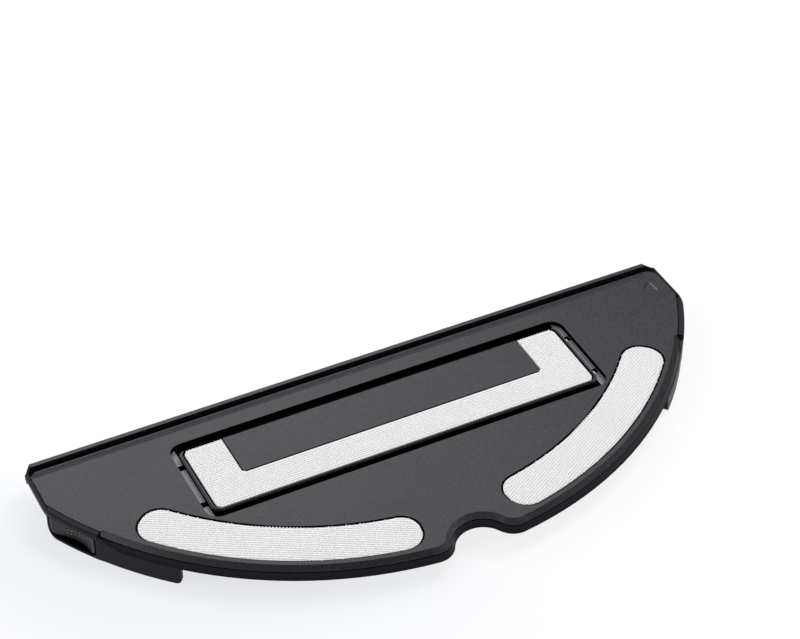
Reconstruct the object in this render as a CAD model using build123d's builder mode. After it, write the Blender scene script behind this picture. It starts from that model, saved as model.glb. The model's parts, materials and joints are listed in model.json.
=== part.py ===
"""Mopping plate of a robot vacuum cleaner, lying with its mopping face up.

The plate is a half-moon that follows the robot's round body. Every sketch is drawn about the robot's
own vertical axis, which lies behind the straight edge, so arcs are centred on (0, 0) and a piece's
distance from the axis is a negative y. Millimetres, +Z up, +Y towards the straight edge.
"""
import os
from math import acos, cos, degrees, pi, radians, sin

from build123d import *

# Half-moon outline
rim_radius = 165.0          # edge of the flat mopping face, from the robot's axis
side_inset = 12.8           # rim radius less the half width across the side lips
plate_depth = 120.1         # edge of the face to the outer face of the cloth rail
notch_offset = 3.4          # centre of the notch in the arc, outside the rim
notch_radius = 15.5
shoulder_radius = 5.5       # rounding on both sides of the notch

# Heights, measured down from the mopping face
face_height = 13.5          # mopping face above the lower edge of the skirts
plate_edge = 1.6            # plate at its rim
spigot_height = 0.8         # thicker middle of the plate, which centres it in the shell
bevel_out = 2.5             # sloped band round the arc
bevel_drop = 1.4
parting_gap = 0.45          # shadow line between plate and shell
upper_band = 1.85           # shell's wall above its fine step
lower_band = 1.3            # and below it
wall_out = 1.4              # how far the shell's wall leans out
rim_step = 0.25
wall = 2.0
floor_thickness = 1.6
fit = 0.3                   # clearance between pieces that move or nest

# Cloth rail along the straight edge
rail_inset = 3.6            # rail's end, from the outer face of the side lip
rail_lip = 2.0
rail_mouth = 2.7
rail_land = 0.6
rail_slope = 4.2
rail_land_drop = 1.2
rail_lip_drop = 0.3
rail_depth = 5.0
land_corner = 2.6           # land's ends, cut off beside the lips
rail_foot_inset = 0.4       # channel's floor runs on to the outer face of the side lip, less this
channel_top = 2.2
channel_height = 1.8
channel_undercut = 0.9

# Side lips
lip_width = 1.3
lip_lead = 4.4              # lip runs on beside the rail's slope
lip_height = 2.8
lip_chamfer = 0.7           # outer edge of the lips and of the latch blocks
seam_gap = 0.4              # seam between the plate and the shell at the sides
end_round = 18.0            # outline's rounding where a lip meets its latch block

# Window with its end ledges
window_length = 188.0
window_width = 47.65
window_inset = 7.375        # rail's slope to the window
window_corner = 6.0
collar = 1.4
ledge_reach = 5.8
ledge_drop = 2.5
ledge_thickness = 1.4
ledge_notch = 3.0           # the vibrating plate's ribs run in these notches
ledge_notch_offset = 12.05

# Vibrating plate and the carrier that holds it down from below the ledges
end_gap = 3.3
side_gap = 3.575
plate_corner = 4.2
vibrating_lip = 1.2
vibrating_step = 0.45       # lower outer edge of the lip
vibrating_step_drop = 0.5
lug_offsets = (28.1, 42.3, 53.6)
lug_width = 2.4
lug_reach = 1.0
lug_drop = 1.1
rib_length = 5.0
rib_inset = 0.7
carrier_overlap = 3.6       # carrier reaches this far under the ledges
carrier_inset = 0.65
carrier_thickness = 2.0
carrier_corner = 3.0
post_radius = 4.0
post_spacing_x = 130.0
post_spacing_y = 24.0
yoke_width = 15.0
yoke_length = 26.0
yoke_height = 3.6
yoke_corner = 3.0
yoke_slot_width = 6.0       # slot across the travel, for the robot's drive pin
yoke_slot_length = 14.0

# Hook pads
pad_thickness = 0.6
pad_recess = 0.9
pad_gap = 0.9               # arc pad to the edge of its recess
u_end_gap = 0.95            # U pad to the vibrating plate's lip
u_side_gap = 0.4
u_panel_gap = 0.5           # U pad to the panel inside it
u_inner_corner = 2.0
u_leg = 17.6
u_bar = 14.8
u_corner = 3.0
arc_pad_margin = 1.7        # recess to the edge of the face
arc_pad_width = 20.0
arc_pad_start = 218.6       # degrees, outer end of the left recess
arc_pad_end = 262.8         # degrees, end beside the notch
arc_pad_outer_corner = 9.5
arc_pad_inner_corner = 9.0

# Latches in the two ends
latch_half_angle = 4.5      # degrees, half of a latch block
seam_out = 1.3              # seam behind the latch block, outside the rim
block_thickness = 2.6
block_corner = 1.0
flare_angle = 4.0           # degrees, over which the wall swells to the latch block
flare_sink = 0.3            # swelling's end, inside the wall
block_foot = 5.5            # block's rounded lower corner, beside the lip
latch_frame = 0.9
latch_sill = 0.9
latch_head = 2.6
opening_foot = 2.5          # opening's lower corner, beside the skirt
housing_depth = 18.5
housing_wall = 1.5
housing_foot = 3.0
button_inset = 0.5
button_gap = 0.9            # button to the sides of its opening
button_head_gap = 0.4
button_height = 8.4
button_depth = 9.0
scoop_depth = 2.3
scoop_margin = 1.2
stop_depth = 1.4            # wall in front of the stop flange
stop_flange = 1.4
stop_overlap = 0.9
peg_radius = 1.5
peg_length = 2.5
spring_radius = 2.1
spring_wire = 0.3
spring_turns = 4
coil_steps = 10             # sections of wire in each turn
wire_sides = 5

# Side skirts
skirt_span = 12.65          # degrees, latch block to the skirt's free end
skirt_thickness = 2.0
skirt_lean = 0.2
skirt_corner = 2.5

# Screws
screw_radius = 1.1
screw_clearance = 0.2
pilot_clearance = 0.05
screw_head_radius = 2.3
screw_head_height = 1.5
screw_head_chamfer = 0.6
screw_bite = 2.4            # pilot hole's depth
boss_radius = 3.2
pad_screw_inset = 6.3       # screw inside each arc pad
pad_screw_angle = 250.0     # degrees, left half
window_screw_gap = 8.0      # two screws beside the window, from its collar
far_screw_inset = 7.3       # first of them, from the shell's far wall
near_screw_inset = 19.4     # second, from the window's near edge

# Worked out from the above: outline and heights
half_width = rim_radius - side_inset
rail_distance = rim_radius - plate_depth
notch_centre = rim_radius + notch_offset
shoulder_reach = rim_radius - shoulder_radius
shoulder_span = notch_radius + shoulder_radius
shoulder_centre = (notch_centre**2 + shoulder_reach**2 - shoulder_span**2) / (2 * notch_centre)
near_distance = shoulder_centre + shoulder_radius + bevel_out + wall_out
axis_y = (near_distance + rail_distance) / 2
parting_drop = plate_edge + parting_gap
step_drop = parting_drop + upper_band
rim_drop = step_drop + lower_band
step_out = wall_out * upper_band / (upper_band + lower_band)
step_radius = rim_radius + bevel_out + step_out - rim_step
wall_radius = rim_radius + bevel_out + wall_out
floor_top = rim_drop - floor_thickness
lip_x = half_width - lip_width
seam_x = lip_x - seam_gap
rail_half_length = half_width - rail_inset
rail_foot_x = half_width - rail_foot_inset
channel_start = rail_distance + rail_lip
channel_drop = channel_top + channel_height
land_start = channel_start + rail_mouth
slope_start = land_start + rail_land
face_start = slope_start + rail_slope
shell_far = face_start + fit
lip_start = face_start - lip_lead

# Vibrating plate and pads
window_centre = face_start + window_inset + window_width / 2
plate_length = window_length - 2 * end_gap
plate_width = window_width - 2 * side_gap
plate_near = window_centre + plate_width / 2
vibrating_thickness = ledge_drop - fit
carrier_drop = ledge_drop + ledge_thickness + fit
carrier_length = window_length - 2 * ledge_reach + 2 * carrier_overlap
carrier_width = plate_width - 2 * carrier_inset
carrier_bottom = carrier_drop + carrier_thickness
rib_centre = plate_length / 2 - rib_inset - rib_length / 2
u_length = plate_length - 2 * (vibrating_lip + u_end_gap)
u_width = plate_width - 2 * (vibrating_lip + u_side_gap)
u_inner_length = u_length - 2 * u_leg
u_inner_near = window_centre + u_width / 2 - u_bar
arc_pad_outer = rim_radius - arc_pad_margin
arc_pad_inner = arc_pad_outer - arc_pad_width

# Latches
seam_radius = rim_radius + seam_out
block_inner = seam_radius + seam_gap
latch_radius = block_inner + block_thickness
latch_start = 180 + degrees(acos(half_width / latch_radius))
latch_angle = latch_start + latch_half_angle
latch_end = latch_angle + latch_half_angle
lip_end = latch_radius * sin(radians(latch_start - 180))
flat_end = seam_radius * sin(radians(latch_end - 180))
seam_turn = degrees(seam_gap / latch_radius)
opening_half = latch_radius * sin(radians(latch_half_angle)) - latch_frame
button_half = opening_half - button_gap
flange_half = opening_half + stop_overlap
chamber_half = flange_half + fit
housing_half = chamber_half + housing_wall
stop_face = (block_inner**2 - chamber_half**2) ** 0.5 - stop_depth
housing_inner = block_inner - housing_depth
chamber_inner = housing_inner + housing_wall
button_top = latch_head + button_head_gap
button_bottom = button_top + button_height
button_middle = button_top + button_height / 2
button_face = latch_radius - button_inset
button_back = button_face - button_depth
sill_drop = face_height - latch_sill
flange_drop = sill_drop - fit
lip_foot = block_foot - latch_frame
scoop_radius = ((button_half - scoop_margin) ** 2 + scoop_depth**2) / (2 * scoop_depth)
spring_length = button_back - chamber_inner - 2 * (spring_wire + pilot_clearance)
spigot_half_length = (housing_inner * cos(radians(latch_angle - 180))
                      - housing_half * sin(radians(latch_angle - 180)) - fit)

# Side skirts
skirt_end_angle = latch_end + skirt_span
skirt_radius = wall_radius + skirt_lean
skirt_inner = skirt_radius - skirt_thickness

# Places of the screws
pad_screw_radius = arc_pad_inner - pad_screw_inset
window_screw_x = window_length / 2 + collar + window_screw_gap
right_shell_screws = [
    (-pad_screw_radius * cos(radians(pad_screw_angle)), pad_screw_radius * sin(radians(pad_screw_angle))),
    (window_screw_x, -(shell_far + wall + far_screw_inset)),
    (window_screw_x, near_screw_inset - window_centre - window_width / 2),
]
shell_screws_at = [(side * x, y) for x, y in right_shell_screws for side in (-1, 1)]
posts_at = [(side * post_spacing_x / 2, -window_centre + row * post_spacing_y / 2)
            for side in (-1, 1) for row in (-1, 1)]

os.makedirs("parts", exist_ok=True)


def level(drop):
    """Plane this far below the mopping face, centred on the robot's axis."""
    return Plane((0, axis_y, face_height - drop))


def mirrored(angle):
    """Angle of a direction after reflection from the left end to the right."""
    return 540 - angle


def latch_plane(angle, radius, drop):
    """Plane on the latch's own radius: x points out of the body, y along the rim."""
    outward = Vector(1, 0, 0).rotate(Axis.Z, angle)
    return Plane(Vector(0, axis_y, face_height - drop) + outward * radius, x_dir=outward, z_dir=(0, 0, 1))


def half_moon(outset, half_length, far, drop):
    """Outline of the body, moved out from the mopping face's edge by the outset."""
    with BuildSketch(level(drop)) as outline:
        Circle(rim_radius + outset)
        with Locations((0, -far)):
            Rectangle(2 * half_length, rim_radius, align=(Align.CENTER, Align.MAX), mode=Mode.INTERSECT)
        with Locations((0, -notch_centre)):
            Circle(notch_radius - outset, mode=Mode.SUBTRACT)
        notch_corners = outline.vertices().sort_by(Axis.Y)[:2]
        fillet(notch_corners, shoulder_radius + outset)
    return outline.sketch


def ring_sector(inner, outer, start, end, drop, inner_corner=0.0, outer_corner=0.0):
    """Ring sector about the robot's axis between two angles, with rounded corners where asked."""
    with BuildSketch(level(drop)) as sector:
        with BuildLine():
            outside = CenterArc((0, 0), outer, start, end - start)
            inside = CenterArc((0, 0), inner, start, end - start)
            Line(outside @ 0, inside @ 0)
            Line(outside @ 1, inside @ 1)
        make_face()
        if outer_corner:
            fillet(sector.vertices().sort_by_distance((0, 0, 0))[2:], outer_corner)
        if inner_corner:
            fillet(sector.vertices().sort_by_distance((0, 0, 0))[:2], inner_corner)
    return sector.sketch


def end_sector(end, inner, outer, first, last, drop, inner_corner=0.0, outer_corner=0.0):
    """Ring sector in the left end of the body, or its mirror image in the right end."""
    if end == "right":
        first, last = mirrored(last), mirrored(first)
    return ring_sector(inner, outer, first, last, drop, inner_corner, outer_corner)


def rim_section(angle, *points):
    """Upright section on a radius of the left end, from (radius, height above the face) points."""
    outward = Vector(1, 0, 0).rotate(Axis.Z, angle)
    upright = Plane((0, axis_y, face_height), x_dir=outward, z_dir=outward.cross(Vector(0, 0, 1)))
    with BuildSketch(upright) as section:
        with BuildLine():
            Polyline(*points, close=True)
        make_face()
    return section.sketch


def across_latch(angle, radius):
    """Upright plane across a radius of either end, with its origin at the height of the face."""
    outward = Vector(1, 0, 0).rotate(Axis.Z, angle)
    return Plane(Vector(0, axis_y, face_height) + outward * radius,
                 x_dir=Vector(0, 0, 1).cross(outward), z_dir=outward)


def latch_outline(end, radius, half, top, bottom, lip_corner, near_corner):
    """Outline of an opening or button in either end, with its lower corners rounded."""
    with BuildSketch(across_latch(latch_angles[end], radius)) as outline:
        with Locations((0, -top)):
            Rectangle(2 * half, bottom - top, align=(Align.CENTER, Align.MAX))
        for place, corner in ((0, lip_corner), (-1, near_corner)):
            lower = outline.vertices().group_by(Axis.Y)[0].sort_by(Axis.X, reverse=(end == "right"))
            fillet(lower[place], corner)
    return outline.sketch


def outside_foot(end, angle, radius, offset, foot):
    """What lies outside a rounded lower corner of an end, this far along the rim from a radius."""
    inward = 1 if end == "left" else -1
    with BuildSketch(across_latch(angle, radius)) as outside:
        with Locations((-inward * offset, foot / 2 - face_height)):
            Rectangle(2 * foot, foot)
        with Locations((inward * (foot - offset), foot - face_height)):
            Circle(foot, mode=Mode.SUBTRACT)
    return outside.sketch


def arc_pad_outline(end, gap, drop):
    """Outline of the left or right arc pad's recess, drawn in all round by the gap."""
    turn = degrees(gap / arc_pad_inner)
    return end_sector(end, arc_pad_inner + gap, arc_pad_outer - gap, arc_pad_start + turn, arc_pad_end - turn,
                      drop, arc_pad_inner_corner - gap, arc_pad_outer_corner - gap)


def window_block(length, width, corner, drop):
    """Rounded rectangle about the middle of the window."""
    with BuildSketch(level(drop)) as outline:
        with Locations((0, -window_centre)):
            RectangleRounded(length, width, corner)
    return outline.sketch


def circles(places, radius, drop):
    """Equal circles at the given places, for bosses, screws and their holes."""
    with BuildSketch(level(drop)) as spots:
        with Locations(*places):
            Circle(radius)
    return spots.sketch


latch_angles = {"left": latch_angle, "right": mirrored(latch_angle)}

# Mop-side plate: face, cloth rail, window collar with its end ledges, pad recesses and screw bosses
with BuildPart() as mop_side_plate:
    extrude(half_moon(bevel_out, seam_x, face_start, plate_edge), amount=plate_edge - bevel_drop)
    loft([half_moon(bevel_out, seam_x, face_start, bevel_drop), half_moon(0, seam_x, face_start, 0)],
         ruled=True)
    with BuildSketch(level(plate_edge)):
        Circle(seam_radius)
        Circle(arc_pad_outer, mode=Mode.SUBTRACT)
        with Locations((0, -flat_end)):
            Rectangle(2 * seam_x, flat_end - face_start, align=(Align.CENTER, Align.MIN), mode=Mode.INTERSECT)
    extrude(amount=plate_edge)
    for end in latch_angles:
        extrude(end_sector(end, seam_radius, wall_radius, latch_start - seam_turn, latch_end + seam_turn,
                           plate_edge, block_corner + seam_gap), amount=plate_edge, mode=Mode.SUBTRACT)
    extrude(half_moon(bevel_out - wall - fit, spigot_half_length, shell_far + wall + fit,
                      plate_edge + spigot_height), amount=spigot_height)
    with BuildSketch(Plane.YZ) as lip_and_channel:
        with BuildLine():
            Polyline(
                (axis_y - rail_distance, face_height - rail_lip_drop),
                (axis_y - channel_start, face_height - rail_lip_drop),
                (axis_y - channel_start, face_height - channel_top),
                (axis_y - channel_start + channel_undercut, face_height - channel_top),
                (axis_y - channel_start + channel_undercut, face_height - channel_drop),
                (axis_y - land_start, face_height - channel_drop),
                (axis_y - land_start, face_height - rail_depth),
                (axis_y - rail_distance, face_height - rail_depth),
                close=True,
            )
        make_face()
    extrude(amount=rail_half_length, both=True)
    with BuildSketch(Plane.YZ) as land_and_slope:
        with BuildLine():
            Polyline(
                (axis_y - land_start, face_height - channel_drop),
                (axis_y - land_start - channel_undercut, face_height - channel_drop),
                (axis_y - land_start - channel_undercut, face_height - channel_top),
                (axis_y - land_start, face_height - channel_top),
                (axis_y - land_start, face_height - rail_land_drop),
                (axis_y - slope_start, face_height - rail_land_drop),
                (axis_y - face_start, face_height),
                (axis_y - face_start, face_height - rail_depth),
                (axis_y - land_start, face_height - rail_depth),
                close=True,
            )
        make_face()
    extrude(amount=seam_x, both=True)
    with BuildSketch(level(channel_drop)):
        for side in (-1, 1):
            with BuildLine():
                Polyline(
                    (side * seam_x, -land_start),
                    (side * seam_x, -land_start - land_corner),
                    (side * (seam_x - land_corner), -land_start),
                    close=True,
                )
            make_face()
    extrude(amount=channel_drop, mode=Mode.SUBTRACT)
    with BuildSketch(level(rail_depth)) as channel_floor:
        with Locations((0, -rail_distance)):
            Rectangle(2 * rail_foot_x, lip_start - seam_gap - rail_distance, align=(Align.CENTER, Align.MAX))
        chamfer(channel_floor.vertices().group_by(Axis.Y)[-1], rail_foot_x - rail_half_length)
        with Locations((0, -land_start)):
            Rectangle(2 * seam_x, face_start - land_start, align=(Align.CENTER, Align.MAX))
    extrude(amount=rail_depth - channel_drop)
    extrude(window_block(window_length + 2 * collar, window_width + 2 * collar, window_corner + collar,
                         rim_drop), amount=rim_drop - plate_edge)
    extrude(window_block(window_length, window_width, window_corner, rim_drop), amount=rim_drop,
            mode=Mode.SUBTRACT)
    with BuildSketch(level(ledge_drop + ledge_thickness)):
        with Locations((0, -window_centre)):
            RectangleRounded(window_length + collar, window_width + collar, window_corner)
            Rectangle(window_length - 2 * ledge_reach, window_width + 2 * collar, mode=Mode.SUBTRACT)
            with GridLocations(0, 2 * ledge_notch_offset, 1, 2):
                Rectangle(window_length, ledge_notch, mode=Mode.SUBTRACT)
    extrude(amount=ledge_thickness)
    for end in latch_angles:
        extrude(arc_pad_outline(end, 0, pad_recess), amount=pad_recess, mode=Mode.SUBTRACT)
    extrude(circles(shell_screws_at, boss_radius, floor_top), amount=floor_top - plate_edge)
    extrude(circles(shell_screws_at, screw_radius + pilot_clearance, floor_top), amount=screw_bite,
            mode=Mode.SUBTRACT)
mop_side_plate.part.label = "mop_side_plate"
export_step(mop_side_plate.part, "parts/mop_side_plate.step")

# Robot-side shell: side lips, latch blocks, leaning wall in two bands, floor, housings and skirts
with BuildPart() as robot_side_shell:
    lip_plane = Plane((0, axis_y - lip_start, face_height), x_dir=(1, 0, 0), z_dir=(0, -1, 0))
    with BuildSketch(lip_plane):
        with BuildLine():
            Polyline(
                (lip_x, 0),
                (half_width, 0),
                (half_width, -lip_height),
                (lip_x, -lip_height - lip_width),
                close=True,
            )
        make_face()
        mirror(about=Plane.YZ)
    extrude(amount=lip_end - lip_start)
    for end in latch_angles:
        extrude(end_sector(end, block_inner, latch_radius, latch_start, latch_end, face_height, block_corner),
                amount=face_height)
        lip_side = latch_start if end == "left" else mirrored(latch_start)
        extrude(outside_foot(end, lip_side, block_inner - seam_gap, 0, block_foot),
                amount=block_thickness + 2 * seam_gap, mode=Mode.SUBTRACT)
    with BuildSketch(level(face_height)) as rounded_ends:
        Circle(latch_radius)
        Rectangle(2 * half_width, 2 * latch_radius, mode=Mode.INTERSECT)
        fillet(rounded_ends.vertices(), end_round)
    extrude(amount=face_height, mode=Mode.INTERSECT)
    top_edges = robot_side_shell.edges().group_by(Axis.Z)[-1]
    lip_edges = top_edges.filter_by(Axis.Y).group_by(lambda edge: abs(edge.center().X))[-1]
    end_edges = top_edges.filter_by(GeomType.CIRCLE).filter_by(
        lambda edge: edge.radius > 2 * block_corner and abs(edge.radius - block_inner) > seam_gap)
    chamfer(lip_edges + end_edges, lip_chamfer)
    loft([half_moon(bevel_out + step_out, seam_x, shell_far, step_drop),
          half_moon(bevel_out, seam_x, shell_far, parting_drop)], ruled=True)
    loft([half_moon(bevel_out + wall_out, seam_x, shell_far, rim_drop),
          half_moon(bevel_out + step_out - rim_step, seam_x, shell_far, step_drop)], ruled=True)
    lip_root = Plane((0, axis_y - shell_far, face_height), x_dir=(1, 0, 0), z_dir=(0, -1, 0))
    with BuildSketch(lip_root):
        with BuildLine():
            Polyline(
                (lip_x, -parting_drop),
                (lip_x, -lip_height - lip_width),
                (half_width + lip_height - rim_drop, -rim_drop),
                (seam_x - wall, -rim_drop),
                (seam_x - wall, -parting_drop),
                close=True,
            )
        make_face()
        mirror(about=Plane.YZ)
    extrude(amount=lip_end - shell_far)
    extrude(half_moon(bevel_out - wall, seam_x - wall, shell_far + wall, floor_top),
            amount=floor_top - parting_drop, mode=Mode.SUBTRACT)
    extrude(window_block(window_length + 2 * (collar + fit), window_width + 2 * (collar + fit),
                         window_corner + collar + fit, rim_drop), amount=rim_drop, mode=Mode.SUBTRACT)
    flare = loft([
        rim_section(latch_end, (skirt_inner, -parting_drop), (latch_radius, -parting_drop),
                    (latch_radius, -rim_drop), (latch_radius, -face_height), (skirt_inner, -face_height)),
        rim_section(latch_end + flare_angle, (skirt_inner, -step_drop - flare_sink),
                    (step_radius - flare_sink, -step_drop - flare_sink), (wall_radius - flare_sink, -rim_drop),
                    (skirt_radius - flare_sink, -face_height), (skirt_inner, -face_height)),
    ], ruled=True)
    mirror(flare, about=Plane.YZ)
    for end, angle in latch_angles.items():
        with BuildSketch(level(face_height)):
            with PolarLocations(block_inner, 1, angle):
                Rectangle(2 * housing_depth, 2 * housing_half)
            Circle(block_inner + seam_gap, mode=Mode.INTERSECT)
            Rectangle(2 * seam_x, 2 * latch_radius, mode=Mode.INTERSECT)
        extrude(amount=face_height - floor_top)
        extrude(outside_foot(end, angle, housing_inner, housing_half, housing_foot), amount=housing_depth,
                mode=Mode.SUBTRACT)
        loft([end_sector(end, skirt_inner, skirt_radius, latch_angle, skirt_end_angle, face_height),
              end_sector(end, skirt_inner, wall_radius, latch_angle, skirt_end_angle, rim_drop)], ruled=True)
    lower_ends = robot_side_shell.edges().filter_by(GeomType.LINE).group_by(Axis.Z)[0].group_by(Axis.Y)[0]
    fillet(lower_ends, skirt_corner)
    for end, angle in latch_angles.items():
        with BuildSketch(latch_plane(angle, chamber_inner, sill_drop)):
            Rectangle(stop_face - chamber_inner, 2 * chamber_half, align=(Align.MIN, Align.CENTER))
        extrude(amount=sill_drop - latch_head, mode=Mode.SUBTRACT)
        extrude(latch_outline(end, chamber_inner, opening_half, latch_head, sill_drop, lip_foot, opening_foot),
                amount=housing_depth + wall, mode=Mode.SUBTRACT)
        with Locations(latch_plane(angle, chamber_inner, button_middle)):
            Cylinder(peg_radius, peg_length, rotation=(0, 90, 0),
                     align=(Align.CENTER, Align.CENTER, Align.MIN))
    extrude(circles(shell_screws_at, screw_radius + screw_clearance, rim_drop), amount=floor_thickness,
            mode=Mode.SUBTRACT)
robot_side_shell.part.label = "robot_side_shell"
export_step(robot_side_shell.part, "parts/robot_side_shell.step")

# Vibrating plate: lip round the pad recess, raised panel inside the U, lugs, posts and guide ribs
with BuildPart() as vibrating_plate:
    extrude(window_block(plate_length, plate_width, plate_corner, vibrating_thickness),
            amount=vibrating_thickness - vibrating_step_drop)
    extrude(window_block(plate_length - 2 * vibrating_step, plate_width - 2 * vibrating_step,
                         plate_corner - vibrating_step, vibrating_step_drop), amount=vibrating_step_drop)
    with BuildSketch(level(pad_recess)):
        with Locations((0, -window_centre)):
            RectangleRounded(plate_length - 2 * vibrating_lip, plate_width - 2 * vibrating_lip,
                             plate_corner - vibrating_lip)
        with Locations((0, u_panel_gap - u_inner_near)):
            RectangleRounded(u_inner_length - 2 * u_panel_gap, plate_width, u_inner_corner - u_panel_gap,
                             align=(Align.CENTER, Align.MIN), mode=Mode.SUBTRACT)
    extrude(amount=pad_recess, mode=Mode.SUBTRACT)
    with BuildSketch(level(vibrating_thickness)):
        with Locations(*[(side * x, -plate_near) for x in lug_offsets for side in (-1, 1)]):
            Rectangle(lug_width, 2 * lug_reach)
    extrude(amount=vibrating_thickness - lug_drop)
    extrude(circles(posts_at, post_radius, carrier_drop), amount=carrier_drop - vibrating_thickness)
    with BuildSketch(level(carrier_drop)):
        with Locations((0, -window_centre)):
            with GridLocations(2 * rib_centre, 2 * ledge_notch_offset, 2, 2):
                Rectangle(rib_length, ledge_notch - 2 * fit)
    extrude(amount=carrier_drop - vibrating_thickness)
    extrude(circles(posts_at, screw_radius + pilot_clearance, carrier_drop), amount=screw_bite,
            mode=Mode.SUBTRACT)
vibrating_plate.part.label = "vibrating_plate"
export_step(vibrating_plate.part, "parts/vibrating_plate.step")

# Carrier: runs below the ledges and takes the robot's drive pin in its yoke
with BuildPart() as vibrating_carrier:
    extrude(window_block(carrier_length, carrier_width, carrier_corner, carrier_bottom),
            amount=carrier_thickness)
    extrude(window_block(yoke_width, yoke_length, yoke_corner, carrier_bottom + yoke_height),
            amount=yoke_height)
    with BuildSketch(level(carrier_bottom + yoke_height)):
        with Locations((0, -window_centre)):
            SlotOverall(yoke_slot_length, yoke_slot_width, rotation=90)
    extrude(amount=yoke_height + carrier_thickness, mode=Mode.SUBTRACT)
    extrude(circles(posts_at, screw_radius + screw_clearance, carrier_bottom), amount=carrier_thickness,
            mode=Mode.SUBTRACT)
vibrating_carrier.part.label = "vibrating_carrier"
export_step(vibrating_carrier.part, "parts/vibrating_carrier.step")

# U-shaped hook pad on the vibrating plate
with BuildPart() as center_hook_pad:
    with BuildSketch(level(pad_recess)):
        with Locations((0, -window_centre)):
            RectangleRounded(u_length, u_width, u_corner)
        with Locations((0, -u_inner_near)):
            RectangleRounded(u_inner_length, plate_width, u_inner_corner, align=(Align.CENTER, Align.MIN),
                             mode=Mode.SUBTRACT)
    extrude(amount=pad_thickness)
center_hook_pad.part.label = "center_hook_pad"
export_step(center_hook_pad.part, "parts/center_hook_pad.step")

# Arc hook pads, one in each recess of the mopping face
for end in latch_angles:
    with BuildPart() as arc_pad:
        extrude(arc_pad_outline(end, pad_gap, pad_recess), amount=pad_thickness)
    arc_pad.part.label = f"{end}_arc_pad"
    export_step(arc_pad.part, f"parts/{end}_arc_pad.step")

# Latch buttons: scooped face in the block's opening, stop flange behind it, peg for the spring
for end, angle in latch_angles.items():
    with BuildPart() as latch_button:
        extrude(latch_outline(end, button_back, button_half, button_top, button_bottom, lip_foot - button_gap,
                              opening_foot - button_gap), amount=button_depth)
        with BuildSketch(latch_plane(angle, button_face, button_bottom)):
            with Locations((scoop_radius - scoop_depth, 0)):
                Circle(scoop_radius)
        extrude(amount=button_height, mode=Mode.SUBTRACT)
        with BuildSketch(latch_plane(angle, stop_face - fit, flange_drop)):
            Rectangle(stop_flange, 2 * flange_half, align=(Align.MAX, Align.CENTER))
        extrude(amount=flange_drop - button_top)
        with Locations(latch_plane(angle, button_back, button_middle)):
            Cylinder(peg_radius, peg_length, rotation=(0, -90, 0),
                     align=(Align.CENTER, Align.CENTER, Align.MIN))
    latch_button.part.label = f"{end}_latch_button"
    export_step(latch_button.part, f"parts/{end}_latch_button.step")

# Latch springs: coils over the two pegs, as a ruled loft through sections of the wire
for end, angle in latch_angles.items():
    seat = latch_plane(angle, chamber_inner + spring_wire + pilot_clearance, button_middle)
    advance = seat.x_dir * (spring_length / spring_turns)
    with BuildPart() as latch_spring:
        for step in range(spring_turns * coil_steps + 1):
            turn = 2 * pi * step / coil_steps
            out = seat.y_dir * cos(turn) + seat.z_dir * sin(turn)
            along = seat.z_dir * cos(turn) - seat.y_dir * sin(turn)
            centre = seat.origin + advance * (step / coil_steps) + out * spring_radius
            with BuildSketch(Plane(centre, x_dir=out, z_dir=along * (2 * pi * spring_radius) + advance)):
                RegularPolygon(spring_wire, wire_sides)
        loft(ruled=True)
    latch_spring.part.label = f"{end}_latch_spring"
    export_step(latch_spring.part, f"parts/{end}_latch_spring.step")

# Screws from below: six through the shell's floor, four through the carrier
with BuildPart() as shell_screws:
    extrude(circles(shell_screws_at, screw_radius, rim_drop), amount=floor_thickness + screw_bite - fit)
    extrude(circles(shell_screws_at, screw_head_radius, rim_drop + screw_head_height),
            amount=screw_head_height)
    chamfer(shell_screws.edges().group_by(Axis.Z)[0], screw_head_chamfer)
shell_screws.part.label = "shell_screws"
export_step(shell_screws.part, "parts/shell_screws.step")

with BuildPart() as carrier_screws:
    extrude(circles(posts_at, screw_radius, carrier_bottom), amount=carrier_thickness + screw_bite - fit)
    extrude(circles(posts_at, screw_head_radius, carrier_bottom + screw_head_height),
            amount=screw_head_height)
    chamfer(carrier_screws.edges().group_by(Axis.Z)[0], screw_head_chamfer)
carrier_screws.part.label = "carrier_screws"
export_step(carrier_screws.part, "parts/carrier_screws.step")
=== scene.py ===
# %% [markdown]
# A mopping plate from a robot vacuum cleaner lies on a pale table with its mopping face up. The packed
# model gives every rigid piece at its real size, in metres. This lesson adds the finishes, the knitted
# hook pads, the small moulded marks, the light and the camera, and never moves a rigid piece.

import json
import math

import bpy
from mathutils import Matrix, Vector
from mathutils.bvhtree import BVHTree


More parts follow.
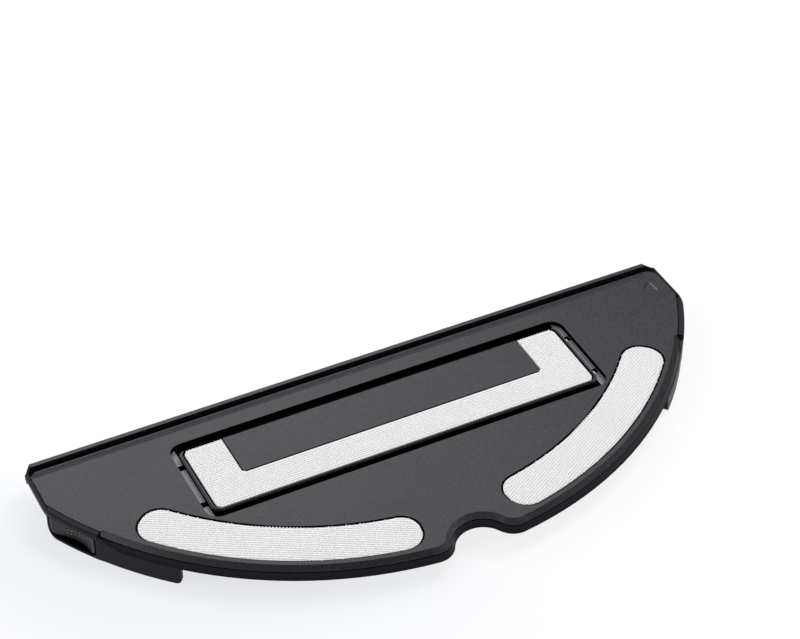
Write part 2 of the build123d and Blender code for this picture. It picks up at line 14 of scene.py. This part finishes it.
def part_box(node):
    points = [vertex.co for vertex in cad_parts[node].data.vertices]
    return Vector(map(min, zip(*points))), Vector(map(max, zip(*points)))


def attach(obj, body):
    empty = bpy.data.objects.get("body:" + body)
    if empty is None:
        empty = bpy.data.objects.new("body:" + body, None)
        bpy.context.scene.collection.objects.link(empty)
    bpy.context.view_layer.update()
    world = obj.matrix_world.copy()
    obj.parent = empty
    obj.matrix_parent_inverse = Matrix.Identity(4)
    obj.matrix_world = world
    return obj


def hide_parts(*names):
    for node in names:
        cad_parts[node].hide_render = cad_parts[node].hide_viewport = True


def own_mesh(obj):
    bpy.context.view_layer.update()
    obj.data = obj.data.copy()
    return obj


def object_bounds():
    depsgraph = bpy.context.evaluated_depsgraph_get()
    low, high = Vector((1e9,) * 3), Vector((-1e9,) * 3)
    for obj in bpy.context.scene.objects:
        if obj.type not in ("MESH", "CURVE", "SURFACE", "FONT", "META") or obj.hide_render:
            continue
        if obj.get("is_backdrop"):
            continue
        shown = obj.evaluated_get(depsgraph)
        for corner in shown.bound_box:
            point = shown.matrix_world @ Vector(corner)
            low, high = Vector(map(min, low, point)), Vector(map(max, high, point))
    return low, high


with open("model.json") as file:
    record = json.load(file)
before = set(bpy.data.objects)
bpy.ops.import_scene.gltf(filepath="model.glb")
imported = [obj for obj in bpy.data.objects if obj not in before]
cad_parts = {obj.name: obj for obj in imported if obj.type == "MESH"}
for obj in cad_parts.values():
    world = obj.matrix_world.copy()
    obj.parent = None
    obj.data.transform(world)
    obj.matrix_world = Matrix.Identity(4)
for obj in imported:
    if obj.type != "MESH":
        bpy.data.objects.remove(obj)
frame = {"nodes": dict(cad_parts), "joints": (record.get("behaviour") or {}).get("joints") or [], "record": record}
nodes = frame["nodes"]
mm = 0.001
cad_low, cad_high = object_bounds()
joint_way = {joint["name"]: Vector(joint["axis"]) for joint in frame["joints"]}
print("pieces:", sorted(nodes))
print("joints:", sorted(joint_way))
print("size in mm:", [round((high - low) / mm, 1) for low, high in zip(cad_low, cad_high)])

# %% [markdown]
# The camera stands to the left of the plate's middle and looks down at it from about forty degrees, with
# a long lens, so the far rail runs almost parallel to the near edge. A camera's own Z axis points
# backwards, so its tilt is ninety degrees less the elevation, and its azimuth turns it about Z.

# %% Camera
view_azimuth = math.radians(-26.733)
view_elevation = math.radians(39.997)
eye = Vector((-330.52, -642.88, 688.28)) * mm
sensor_width = 36.0
focal_pixels, image_width = 2354.6, 800

camera_data = bpy.data.cameras.new("camera")
camera_data.sensor_width = sensor_width
camera_data.lens = focal_pixels * sensor_width / image_width
camera = bpy.data.objects.new("camera", camera_data)
camera.location = eye
camera.rotation_euler = (math.pi / 2 - view_elevation, 0, view_azimuth)
bpy.context.collection.objects.link(camera)
bpy.context.scene.camera = camera
print("lens in mm:", round(camera_data.lens, 1))

# %% [markdown]
# Shader sums read best as sums. A Wire holds one output socket of a node, and its operators add Math
# nodes, so 1 - mask or noise * 0.2 can be written down as they are thought of. A comparison gives one or
# zero, so the product of two comparisons means that both hold.


# %% Wires
class Wire:
    """One output socket. Sums and products with numbers or other wires add Math nodes."""

    def __init__(self, paint, socket):
        self.paint = paint
        self.socket = socket

    def maths(self, operation, first, second):
        return self.paint.node("ShaderNodeMath", {"operation": operation}, {0: first, 1: second})

    def __add__(self, other):
        return self.maths("ADD", self, other)

    def __radd__(self, other):
        return self.maths("ADD", other, self)

    def __sub__(self, other):
        return self.maths("SUBTRACT", self, other)

    def __rsub__(self, other):
        return self.maths("SUBTRACT", other, self)

    def __mul__(self, other):
        return self.maths("MULTIPLY", self, other)

    def __rmul__(self, other):
        return self.maths("MULTIPLY", other, self)

    def __pow__(self, other):
        return self.maths("POWER", self, other)

    def __gt__(self, other):
        return self.maths("GREATER_THAN", self, other)

    def __lt__(self, other):
        return self.maths("LESS_THAN", self, other)

    def __abs__(self):
        return self.maths("ABSOLUTE", self, 0.0)


print("wires ready")

# %% [markdown]
# A Paint holds one material, and its node method makes any other node: settings first, then the values or
# links of its sockets. The short methods after it make the nodes and links that recur in this lesson.


# %% Paints
class Paint:
    """A material with its Principled shader, and one method that adds a node."""

    def __init__(self, name):
        self.material = bpy.data.materials.new(name)
        self.material.use_nodes = True
        self.tree = self.material.node_tree
        self.shader = self.tree.nodes["Principled BSDF"]

    def node(self, kind, settings=None, inputs=None, output=0):
        made = self.tree.nodes.new(kind)
        for key, value in (settings or {}).items():
            setattr(made, key, value)
        for key, value in (inputs or {}).items():
            self.plug(made.inputs[key], value)
        return Wire(self, made.outputs[output])

    def plug(self, socket, value):
        if isinstance(value, Wire):
            self.tree.links.new(value.socket, socket)
        else:
            socket.default_value = value

    def set(self, **values):
        for key, value in values.items():
            self.plug(self.shader.inputs[key.replace("_", " ")], value)

    def surface(self):
        return Wire(self, self.shader.outputs["BSDF"])

    def finish(self, surface):
        self.plug(self.tree.nodes["Material Output"].inputs["Surface"], surface)

    def place(self):
        return self.node("ShaderNodeTexCoord", output="Object")

    def axis(self, name):
        return self.node("ShaderNodeSeparateXYZ", {}, {0: self.place()}, output=name)

    def noise(self, size, detail=2.0):
        """Noise whose lumps are about this many metres across."""
        inputs = {"Vector": self.place(), "Scale": 1 / size, "Detail": detail}
        return self.node("ShaderNodeTexNoise", {}, inputs)

    def ramp(self, value, start, end):
        """Zero at the start, one at the end, and even between them."""
        return self.node("ShaderNodeMapRange", {}, {0: value, 1: start, 2: end})

    def blend(self, factor, first, second):
        """The first colour where the factor is zero, the second where it is one."""
        inputs = {0: factor, 6: first, 7: second}
        return self.node("ShaderNodeMix", {"data_type": "RGBA"}, inputs, output=2)

    def mix_shaders(self, factor, first, second):
        return self.node("ShaderNodeMixShader", {}, {0: factor, 1: first, 2: second})


print("paints ready")

# %% [markdown]
# The recesses and the running gap get a painted shade of almost black, the sloped rim a lighter painted
# shade, and the outer strips of the two ledges in the window's ends are painted a lighter grey as painted
# light. Painted vertices could say so, but a imported mesh isn't changed. A material's place coordinates
# are those of the plate, so a mask picks each spot out by its height and distance instead.

# %% Places on the face
face_z = cad_high[2]
robot_axis_y = 106.363 * mm
notch_y, notch_reach = -62 * mm, 22 * mm
rail_foot_y = 50 * mm
recess_depth, recess_radius = 0.06 * mm, 163.5 * mm
slope_radius, slope_share = 164.9 * mm, 0.22
ledge_low, ledge_high, ledge_start = 10.9 * mm, 11.2 * mm, 90.7 * mm


def distance(paint, centre_y):
    """Distance across the plate from a point on its middle line."""
    x, along = paint.axis("X"), paint.axis("Y") - centre_y
    return (x * x + along * along) ** 0.5


def painted_light_ledge(paint):
    """One on the outer strip of the ledges in the window's ends, which are painted lighter as painted light."""
    z, across = paint.axis("Z"), abs(paint.axis("X"))
    return (z < ledge_high) * (z > ledge_low) * (across > ledge_start)


def face_shade(paint):
    """Painted shade: one in the window and the pads' recesses, less on the sloped rim, none on ledges or in the
    notch.
    """
    radius = distance(paint, robot_axis_y)
    low = (paint.axis("Z") < face_z - recess_depth) * (paint.axis("Y") < rail_foot_y)
    recess = (radius < recess_radius) * (1 - painted_light_ledge(paint))
    slope = (radius > slope_radius) * slope_share
    return low * (distance(paint, notch_y) > notch_reach) * (recess + slope)


print("face at z in mm:", round(face_z / mm, 2))

# %% [markdown]
# The shell gets a painted shade in the parting line under the rim, which is a step too shallow to hold much
# shade by itself, and inside the two openings that the latch buttons sit in. The vibrating plate gets a
# painted shade on its sides and along its far lip, where the window's wall stands over it.

# %% Places on the shell and the vibrating plate
parting_low, parting_high, parting_radius = 11.38 * mm, 11.5 * mm, 167.6 * mm
opening_top, opening_radius, opening_reach = 10.9 * mm, 168.6 * mm, 12.6 * mm
latch_way = joint_way["left_latch_press"]
side_depth = 0.7 * mm
lip_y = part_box("center_hook_pad")[1][1] + 0.1 * mm


def shell_shade(paint):
    """Painted shade: one in the parting line under the rim, and inside the latch openings."""
    x, z = abs(paint.axis("X")), paint.axis("Z")
    forward = robot_axis_y - paint.axis("Y")
    radius = distance(paint, robot_axis_y)
    aside = abs(x * latch_way.y - forward * latch_way.x)
    parting = (z > parting_low) * (z < parting_high) * (radius < parting_radius)
    opening = (radius < opening_radius) * (aside < opening_reach) * (z < opening_top)
    return parting + opening


def plate_shade(paint):
    """Painted shade: one on the vibrating plate's sides and along its far lip, under the window's wall."""
    low = paint.axis("Z") < face_z - side_depth
    far = paint.axis("Y") > lip_y
    return low + (1 - low) * far


print("far lip from y in mm:", round(lip_y / mm, 2))

# %% [markdown]
# Moulded plastic of this kind is spark-eroded in its mould: a matt surface of tiny pits, dull where it
# faces the eye and with a broad sheen where it faces the light. Real pits would take millions of faces, so
# two noises do it: a fine one for the pits, as a bump and as a speckle in the colour, and a slow one that
# lets the sheen wander a little. A Bevel node rounds the normal at every edge, because no moulding has a
# truly sharp one. Where a mask asks for painted shade, a Mix Shader puts a plain black diffuse over it.

# %% Moulded plastics
painted_shade_black = (0.0025, 0.0025, 0.003, 1)
painted_ledge_grey = (0.24, 0.24, 0.255, 1)
edge_radius = 0.1 * mm
drift_size, drift_depth = 35 * mm, 0.06
mean_tint, tint_contrast, sheen_depth = 0.9, 2.5, 0.08


def moulded_plastic(name, colour, roughness, gloss, grain_size=0.3 * mm, grain_depth=0.01 * mm,
                    speckle=0.1, shade=None):
    paint = Paint(name)
    pits = paint.noise(grain_size, detail=3.0)
    drift = paint.noise(drift_size)
    rounded = paint.node("ShaderNodeBevel", {"samples": 6}, {"Radius": edge_radius})
    dark, light = (tuple(channel * share for channel in colour) + (1,)
                   for share in (mean_tint - speckle, mean_tint + speckle))
    tint = paint.blend((pits - 0.5) * tint_contrast + 0.5, dark, light)
    # Painted light: the outer strips of the ledges get a lighter grey.
    if shade is face_shade:
        tint = paint.blend(painted_light_ledge(paint), tint, painted_ledge_grey)
    # Painted shade: a black diffuse is mixed in wherever the mask is one.
    if shade:
        painted_black = paint.node("ShaderNodeBsdfDiffuse", {}, {"Color": painted_shade_black})
        paint.finish(paint.mix_shaders(shade(paint), paint.surface(), painted_black))
    grain = {"Strength": 1.0, "Distance": grain_depth, "Height": pits, "Normal": rounded}
    paint.set(
        Base_Color=tint,
        Specular_IOR_Level=gloss,
        Roughness=roughness + (drift - 0.5) * drift_depth + (pits - 0.5) * sheen_depth,
        Normal=paint.node("ShaderNodeBump", {}, grain),
    )
    print(name, "grain in mm:", round(grain_size / mm, 2))
    return paint.material


print("edges rounded by mm:", round(edge_radius / mm, 2))

# %% [markdown]
# The face and the vibrating plate have the coarse grain and the most sheen, the shell and the buttons a
# fine grain. The grips on the buttons are painted pale as a painted highlight, and the small dimples round
# them are painted near black as painted shade.

# %% Plastics of this plate
dark_grey = (0.012, 0.0114, 0.016)
coarse = {"grain_size": 1.0 * mm, "grain_depth": 0.06 * mm}

face_plastic = moulded_plastic(
    "face_plastic", dark_grey, roughness=0.33, gloss=0.5, **coarse, speckle=0.85, shade=face_shade)
shell_plastic = moulded_plastic(
    "shell_plastic", (0.014, 0.0136, 0.0185), roughness=0.42, gloss=0.12, shade=shell_shade)
vibrating_plastic = moulded_plastic(
    "vibrating_plastic", dark_grey, roughness=0.34, gloss=0.5, **coarse, speckle=0.85, shade=plate_shade)
button_plastic = moulded_plastic("button_plastic", (0.024, 0.024, 0.028), roughness=0.42, gloss=0.4)
mark_plastic = moulded_plastic(
    "mark_plastic", (0.022, 0.0214, 0.026), roughness=0.33, gloss=0.5, **coarse)
# Painted highlight in the pale one, painted shade in the near-black one after it.
painted_highlight_plastic = moulded_plastic("painted_highlight_plastic", (0.30, 0.30, 0.31), roughness=0.4, gloss=0.5)
painted_shade_plastic = moulded_plastic("painted_shade_plastic", (0.004, 0.004, 0.005), roughness=0.8, gloss=0.1)
seal_rubber = moulded_plastic("seal_rubber", (0.006, 0.006, 0.007), roughness=0.75, gloss=0.1)

# %% [markdown]
# The springs and screws are zinc-plated steel, which is a metal with a slightly blotchy, satin skin. The
# blotches come from a noise in its roughness alone, because the zinc's colour is even.


# %% Plated steel
def plated_steel():
    paint = Paint("plated_steel")
    blotches = paint.noise(1.2 * mm, detail=4.0)
    paint.set(Base_Color=(0.58, 0.58, 0.56, 1), Metallic=1.0, Roughness=0.26 + blotches * 0.2)
    return paint.material


steel = plated_steel()
print("steel ready")

# %% [markdown]
# The white pads are a warp-knitted hook fabric of matt yarn, painted a little greyer in its hollows as
# painted shade. The height above the pad says what is a hollow, and a noise finer than the loops gives the
# yarn its fibres.

# %% Hook fabric
loop_height = 0.36 * mm
pad_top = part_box("left_arc_pad")[1][2]
hollow_shade_white = (0.79, 0.787, 0.78, 1)
loop_white = (0.98, 0.976, 0.965, 1)


def hook_fabric():
    paint = Paint("hook_fabric")
    fibres = paint.noise(0.16 * mm, detail=4.0)
    patches = paint.noise(9 * mm)
    rise = (paint.axis("Z") - pad_top) * (1 / loop_height)
    # Painted shade greys the hollows by their height; the two noises are the yarn's own tone.
    lit = rise * 0.75 + fibres * 0.2 + patches * 0.15
    fuzz = {"Strength": 0.6, "Distance": 0.04 * mm, "Height": fibres}
    paint.set(
        Base_Color=paint.blend(lit, hollow_shade_white, loop_white),
        Roughness=0.92,
        Normal=paint.node("ShaderNodeBump", {}, fuzz),
    )
    return paint.material


white_yarn = hook_fabric()
print("loops in mm:", round(loop_height / mm, 2), "high")

# %% [markdown]
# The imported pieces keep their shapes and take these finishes. The two springs get none, because a coil
# further down takes their place.

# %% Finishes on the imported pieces
finishes = {
    "mop_side_plate": face_plastic,
    "robot_side_shell": shell_plastic,
    "vibrating_plate": vibrating_plastic,
    "vibrating_carrier": vibrating_plastic,
    "left_latch_button": button_plastic,
    "right_latch_button": button_plastic,
    "shell_screws": steel,
    "carrier_screws": steel,
    "center_hook_pad": white_yarn,
    "left_arc_pad": white_yarn,
    "right_arc_pad": white_yarn,
}
for name, material in finishes.items():
    nodes[name].data.materials.clear()
    nodes[name].data.materials.append(material)
print("finishes set on", len(finishes), "pieces")

# %% [markdown]
# Every added piece is a mesh of points and faces that rides on one of the bodies, so that it moves with
# the joints, and takes the finish that it shares. One helper does this for all of them.

# %% Adding a piece
up = Vector((0, 0, 1))


def add_piece(name, points, faces, material, body, smooth=True):
    mesh = bpy.data.meshes.new(name)
    mesh.from_pydata(points, [], faces)
    if smooth:
        mesh.shade_smooth()
    mesh.materials.append(material)
    piece = bpy.data.objects.new(name, mesh)
    bpy.context.collection.objects.link(piece)
    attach(piece, body)
    print(name, "faces:", len(faces))
    return piece


def surface_of(obj):
    """The object's faces, ready to be hit by rays."""
    return BVHTree.FromObject(obj, bpy.context.evaluated_depsgraph_get())


def side_faces(count):
    """Faces round a prism whose lower corners come first, then the upper ones."""
    return [(a, (a + 1) % count, (a + 1) % count + count, a + count) for a in range(count)]


# %% [markdown]
# The knit is real geometry, because its loops break up the cut edges of the pads. Its rows are 1.22 mm
# apart, and along a row a pair of slanted loops repeats every 1.4 mm. Each loop is a small pillow: a rim,
# a raised ring and a top.

# %% One loop
row_pitch = 1.22 * mm
loop_pitch = 1.40 * mm
loop_length, loop_width = 1.22 * mm, 0.64 * mm
loop_slant = math.radians(24)
loop_sides = 8
loop_rings = ((1.0, 0.0), (0.72, 0.7))


def pillow(centre, direction):
    """Points of one loop, as a dome that lies along the direction."""
    across = Vector((-direction.y, direction.x, 0))
    points = []
    for share, rise in loop_rings:
        for step in range(loop_sides):
            turn = 2 * math.pi * step / loop_sides
            along = direction * math.cos(turn) * loop_length / 2 * share
            aside = across * math.sin(turn) * loop_width / 2 * share
            points.append(centre + along + aside + up * rise * loop_height)
    points.append(centre + up * loop_height)
    return points


def pillow_faces(first):
    ring = [(step, (step + 1) % loop_sides) for step in range(loop_sides)]
    sides = [(first + a, first + b, first + loop_sides + b, first + loop_sides + a) for a, b in ring]
    cap = [(first + loop_sides + a, first + loop_sides + b, first + 2 * loop_sides) for a, b in ring]
    return sides + cap


print("triangles in a loop:", 3 * loop_sides)

# %% [markdown]
# A lattice of loops is laid along each pad's own direction: the arc pads were cut along their chords, and
# the middle pad along the straight edge. A ray sent straight down tells whether a lattice point lies over
# the pad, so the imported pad's own outline decides where loops go. At a cut edge every second loop has
# fallen out, which leaves the fabric's fine teeth.

# %% Knitted loops
chord_angle = math.radians(29.5)
edge_reach = 0.6 * mm
ray_drop = 1 * mm
level = 0.9


def knit(pad_name, body, angle):
    """Loops all over the pad's top, as one piece that rides with the pad."""
    low, high = (Vector(corner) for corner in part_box(pad_name))
    surface = surface_of(nodes[pad_name])
    row_way = Vector((math.cos(angle), math.sin(angle), 0))
    next_row = Vector((-math.sin(angle), math.cos(angle), 0))
    middle = (low + high) / 2
    reach = (high - low).length / 2
    rows, columns = int(reach / row_pitch), int(reach / (loop_pitch / 2))
    points, faces = [], []
    for row in range(-rows, rows + 1):
        for column in range(-columns, columns + 1):
            spot = middle + next_row * row * row_pitch + row_way * column * loop_pitch / 2
            spot.z = high.z + ray_drop
            hit, normal, _, _ = surface.ray_cast(spot, -up)
            if hit is None or normal.z < level:
                continue
            beside = (spot + next_row * edge_reach, spot - next_row * edge_reach)
            at_edge = any(surface.ray_cast(place, -up)[0] is None for place in beside)
            if at_edge and column % 2:
                continue
            slant = loop_slant if column % 2 else -loop_slant
            way = next_row * math.cos(slant) + row_way * math.sin(slant)
            faces += pillow_faces(len(points))
            points += pillow(hit, way)
    return add_piece(pad_name + "_loops", points, faces, white_yarn, body)


knit("center_hook_pad", "vibrating_unit", 0.0)
knit("left_arc_pad", "body", -chord_angle)
knit("right_arc_pad", "body", chord_angle)

# %% [markdown]
# Each button has rows of small round grips in its scooped face, each in a shallow dimple. A dimple can't
# be cut into a imported piece, so it is an almost flat dome painted near black as painted shade, with the
# grip, painted pale as a painted highlight, standing up out of it. Both come from one helper, which sets a
# dome of any height on a surface.

# %% One dome
grip_radius, grip_height, grip_sides = 0.36 * mm, 0.5 * mm, 10
dimple_radius, dimple_height = 0.66 * mm, 0.05 * mm
dome_rings = ((1.0, -0.1), (0.85, 0.55), (0.45, 0.9))


def dome(centre, normal, radius, height):
    """Points of a small dome that stands on a surface."""
    side = normal.cross(up).normalized()
    points = []
    for share, rise in dome_rings:
        for step in range(grip_sides):
            turn = 2 * math.pi * step / grip_sides
            around = side * math.cos(turn) + normal.cross(side) * math.sin(turn)
            points.append(centre + around * radius * share + normal * height * rise)
    points.append(centre + normal * height)
    return points


def dome_faces(first):
    ring = [(step, (step + 1) % grip_sides) for step in range(grip_sides)]
    faces = []
    for start in (first, first + grip_sides):
        faces += [(start + a, start + b, start + b + grip_sides, start + a + grip_sides) for a, b in ring]
    top = first + 2 * grip_sides
    faces += [(top + a, top + b, top + grip_sides) for a, b in ring]
    return faces


print("points in a dome:", len(dome_rings) * grip_sides + 1)

# %% [markdown]
# The rows are given by their two ends, along the rim from the button's middle and down from the mopping
# face, in millimetres, with the number of grips. A ray along the button's own joint axis finds the
# scooped face, so the grips sit on it and ride with the button.

# %% Grips on the buttons
grip_rows = [
    ((-3.6, -5.0), (-2.0, -4.8), 2),
    ((-4.0, -7.1), (4.4, -5.4), 5),
    ((-4.1, -9.0), (5.6, -6.8), 6),
]
grip_shift = 0.2 * mm
ray_radius = 180 * mm
hub = Vector((0, robot_axis_y, face_z))

for end, towards_notch in (("left", 1), ("right", -1)):
    inward = joint_way[end + "_latch_press"]
    along = Vector((inward.y, -inward.x, 0)) * towards_notch
    surface = surface_of(nodes[end + "_latch_button"])
    grips, dimple_shades, faces = [], [], []
    for (first_s, first_z), (last_s, last_z), count in grip_rows:
        for index in range(count):
            share = index / (count - 1)
            s, z = first_s + (last_s - first_s) * share, first_z + (last_z - first_z) * share
            start = hub - inward * ray_radius + along * s * mm + up * z * mm
            spot, normal, _, _ = surface.ray_cast(start, inward)
            faces += dome_faces(len(grips))
            grips += dome(spot + along * grip_shift, normal, grip_radius, grip_height)
            dimple_shades += dome(spot, normal, dimple_radius, dimple_height)
    body = end + "_button"
    # Pale grips are a painted highlight, and the dark dimples are painted shade.
    add_piece(body + "_grips", grips, faces, painted_highlight_plastic, body)
    add_piece(body + "_dimples", dimple_shades, faces, painted_shade_plastic, body)

# %% [markdown]
# Behind each button sits a coil spring, hidden in its housing. A rigid coil would be run through when the
# button is pressed, so a coil of round wire takes its place. The imported coil gives its two ends, and the
# record gives the end that stays still.

# %% One coil
coil_radius, wire_radius = 2.1 * mm, 0.3 * mm
coil_turns, turn_steps, wire_sides = 4, 28, 8
coil_steps = coil_turns * turn_steps


def coil_points(anchor, outward, first, last):
    """Rings of a round wire that winds about a line, from one distance along it to another."""
    aside = outward.cross(up)
    points = []
    for step in range(coil_steps + 1):
        turn = 2 * math.pi * step / turn_steps
        out = up * math.cos(turn) + aside * math.sin(turn)
        middle = anchor + outward * (first + (last - first) * step / coil_steps) + out * coil_radius
        for corner in range(wire_sides):
            around = 2 * math.pi * corner / wire_sides
            points.append(middle + (out * math.cos(around) + outward * math.sin(around)) * wire_radius)
    return points


def coil_faces(count):
    """Faces between the rings, and one on each end of the wire."""
    faces = []
    for a in range(count - wire_sides):
        b = a + 1 if (a + 1) % wire_sides else a + 1 - wire_sides
        faces.append((a + wire_sides, b + wire_sides, b, a))
    return faces + [tuple(range(wire_sides)), tuple(range(count - wire_sides, count))[::-1]]


print("turns in a coil:", coil_turns)

# %% [markdown]
# The record says which spring gives way to which joint. The coil runs along the imported spring from end
# to end, less a wire's radius at each end.

# %% Latch springs
for joint in frame["record"]["behaviour"]["joints"]:
    for held in joint.get("deforming_nodes", []):
        anchor, outward = Vector(held["fixed_end_m"]), -Vector(held["axis"])
        reaches = [(vertex.co - anchor).dot(outward) for vertex in nodes[held["node"]].data.vertices]
        points = coil_points(anchor, outward, min(reaches) + wire_radius, max(reaches) - wire_radius)
        faces = coil_faces(len(points))
        coil = add_piece(held["node"] + "_coil", points, faces, steel, "body")
        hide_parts(held["node"])
        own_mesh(coil)

# %% [markdown]
# A small sunk triangle near the right end of the rail shows which way the cloth is pushed in. The packed
# face isn't cut, so the mark is a skin a few hundredths of a millimetre thick: a paler floor, and one
# strip for each of its two far walls, one near black as painted shade and one pale as a painted highlight.

# %% Arrow mark
skin = 0.03 * mm
dark_width, light_width = 0.42 * mm, 0.26 * mm
arrow_corners = ((138.9, -61.4), (144.4, -57.8), (144.9, -64.8))
left_foot, peak, right_foot = (hub + Vector((x, y, 0)) * mm for x, y in arrow_corners)


def laid_on(name, outline, height, material):
    """A thin flat plate on the face, with its outline given anticlockwise from above."""
    count = len(outline)
    points = [corner - up * skin for corner in outline] + [corner + up * height for corner in outline]
    faces = [tuple(range(count, 2 * count))] + side_faces(count)
    add_piece(name, points, faces, material, "body", smooth=False)


def strip(start, end, width):
    """Corners of a strip along the left side of a line."""
    way = (end - start).normalized()
    aside = Vector((-way.y, way.x, 0)) * width
    return [start, end, end + aside, start + aside]


laid_on("arrow_floor", [peak, left_foot, right_foot], skin, mark_plastic)
# The two wall strips are a painted shade and a painted highlight.
laid_on("arrow_dark_wall", strip(peak, left_foot, dark_width), 2 * skin, painted_shade_plastic)
laid_on("arrow_light_wall", strip(right_foot, peak, light_width), 2 * skin, painted_highlight_plastic)

# %% [markdown]
# At both ends of the rail a low web runs slantwise from the rail's end to the side lip and closes the
# corner. It stands on the channel's floor, a little inside its edge, and is a plain prism with a top that
# falls slightly towards the lip.

# %% Rail corners
web_foot, web_at_rail, web_at_lip, web_thickness = 8.0, 12.9, 12.7, 0.8
prism_faces = [(4, 5, 6, 7), (3, 2, 1, 0)] + side_faces(4)
for end, side in (("left", -1), ("right", 1)):
    rail_end = Vector((side * 148.7, 61.3, 0))
    lip_end = Vector((side * 152.0, 56.3, 0))
    inner = Vector((-side * 0.86, -0.51, 0)) * web_thickness
    outline = [(rail_end, web_at_rail), (lip_end, web_at_lip),
               (lip_end + inner, web_at_lip), (rail_end + inner, web_at_rail)]
    if side > 0:
        outline = outline[::-1]
    low = [(corner + up * web_foot) * mm for corner, _ in outline]
    high = [(corner + up * height) * mm for corner, height in outline]
    name = end + "_rail_corner"
    add_piece(name, low + high, prism_faces, shell_plastic, "body", smooth=False)

# %% [markdown]
# No light comes up through the running gap, so a thin rubber blade closes it from below along both long
# sides of the window. Each blade grows out of the window's collar and ends in a small bead just short of
# the carrier, so the plate slides past it freely. One profile is drawn out along the window: its points
# are distances from the window's wall and heights, in millimetres.

# %% Dust seals
seal_profile = [(-0.9, 8.4), (3.1, 8.4), (3.5, 8.6), (3.55, 9.0),
                (3.3, 9.25), (3.05, 9.05), (2.9, 8.85), (-0.9, 8.85)]
seal_reach = 94.5
count = len(seal_profile)
seal_faces = side_faces(count) + [tuple(range(count))[::-1], tuple(range(count, 2 * count))]
flipped_faces = [face[::-1] for face in seal_faces]
for name, wall_y, way in (("near_dust_seal", -3.062, 1), ("far_dust_seal", 44.588, -1)):
    points = [Vector((x, wall_y + way * reach, z)) * mm
              for x in (-seal_reach, seal_reach) for reach, z in seal_profile]
    faces = seal_faces if way > 0 else flipped_faces
    add_piece(name, points, faces, seal_rubber, "body", smooth=False)

# %% [markdown]
# The light is a studio's: a weak even sky, a wide softbox above and behind the plate, whose sheen falls on
# every surface that looks up, one softbox on each side, and a low strip that picks out the left edges.
# Surfaces that lean towards the camera see the dim side of the room, so the rim stays darker than the face, and
# its painted shade darkens it a little more.

# %% Light
world = bpy.data.worlds.new("room")
bpy.context.scene.world = world
world.use_nodes = True
room = world.node_tree.nodes["Background"]
room.inputs["Color"].default_value = (0.97, 0.98, 1.0, 1)
room.inputs["Strength"].default_value = 0.42


def softbox(name, place, width, depth, power):
    """A rectangular lamp that looks at the middle of the plate."""
    data = bpy.data.lights.new(name, "AREA")
    data.color = (0.97, 0.97, 1.0)
    data.shape = "RECTANGLE"
    data.size, data.size_y = width, depth
    data.energy = power
    lamp = bpy.data.objects.new(name, data)
    lamp.location = place
    lamp.rotation_euler = (-Vector(place)).to_track_quat("-Z", "Y").to_euler()
    bpy.context.collection.objects.link(lamp)
    print(name, "watts:", power)


softbox("back_softbox", (0.02, 1.17, 1.05), width=1.4, depth=0.9, power=6.9)
softbox("left_softbox", (-1.1, 0.35, 1.1), width=0.9, depth=0.9, power=5)
softbox("right_softbox", (0.95, 0.36, 1.38), width=0.6, depth=0.6, power=12)
softbox("edge_strip", (-1.05, 1.15, 0.55), width=0.6, depth=0.3, power=3)

# %% [markdown]
# The floor is a plain pale sheet. To the eye and in reflections most of it is a glow of its own, which
# makes it white without more light on the plate, and the rest is a lit surface that keeps the plate's
# shadow. Round the left end and the near rim the glow carries a painted shadow, a little bluer and darker,
# fading outwards.

# %% Floor
floor_half = 4
floor_glow, glow_share = 1.03, 0.82
plain_white, shade_blue = (1.0, 1.0, 1.0, 1), (0.80, 0.82, 0.865, 1)
shade_x, shade_y, shade_radius = (0.03, -0.165), (0.08, 0.03), (0.25, 0.165)

corners = [(x * floor_half, y * floor_half, 0) for x, y in ((-1, -1), (1, -1), (1, 1), (-1, 1))]
floor_mesh = bpy.data.meshes.new("floor")
floor_mesh.from_pydata(corners, [], [(0, 1, 2, 3)])
floor = bpy.data.objects.new("floor", floor_mesh)
bpy.context.collection.objects.link(floor)

pale = Paint("pale_floor")
pale.set(Base_Color=(0.9, 0.91, 0.93, 1), Roughness=0.8)
seen = sum(pale.node("ShaderNodeLightPath", output=ray) for ray in
           ("Is Camera Ray", "Is Glossy Ray", "Is Transmission Ray"))
leftward = pale.ramp(pale.axis("X"), *shade_x)
forward = pale.ramp(pale.axis("Y"), *shade_y)
nearby = pale.ramp(distance(pale, robot_axis_y), *shade_radius)
# Painted shadow: the glow turns bluer and darker round the left end and the near rim.
glow_with_painted_shadow = pale.blend(leftward * forward * nearby, plain_white, shade_blue)
glow = pale.node("ShaderNodeEmission", {}, {"Color": glow_with_painted_shadow, "Strength": floor_glow})
pale.finish(pale.mix_shaders(seen * glow_share, pale.surface(), glow))
floor_mesh.materials.append(pale.material)
floor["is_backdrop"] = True
bpy.context.scene.view_settings.view_transform = "Standard"
print("floor in metres:", 2 * floor_half)

# %% [markdown]
# Looks don't change the plate's size. The box of the imported pieces was printed at the start, and the
# box of all the pieces that are there now is printed here, so that the two can be compared.

# %% Sizes before and after
low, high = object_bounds()
print("visual size in mm:", [round((b - a) / mm, 1) for a, b in zip(low, high)])
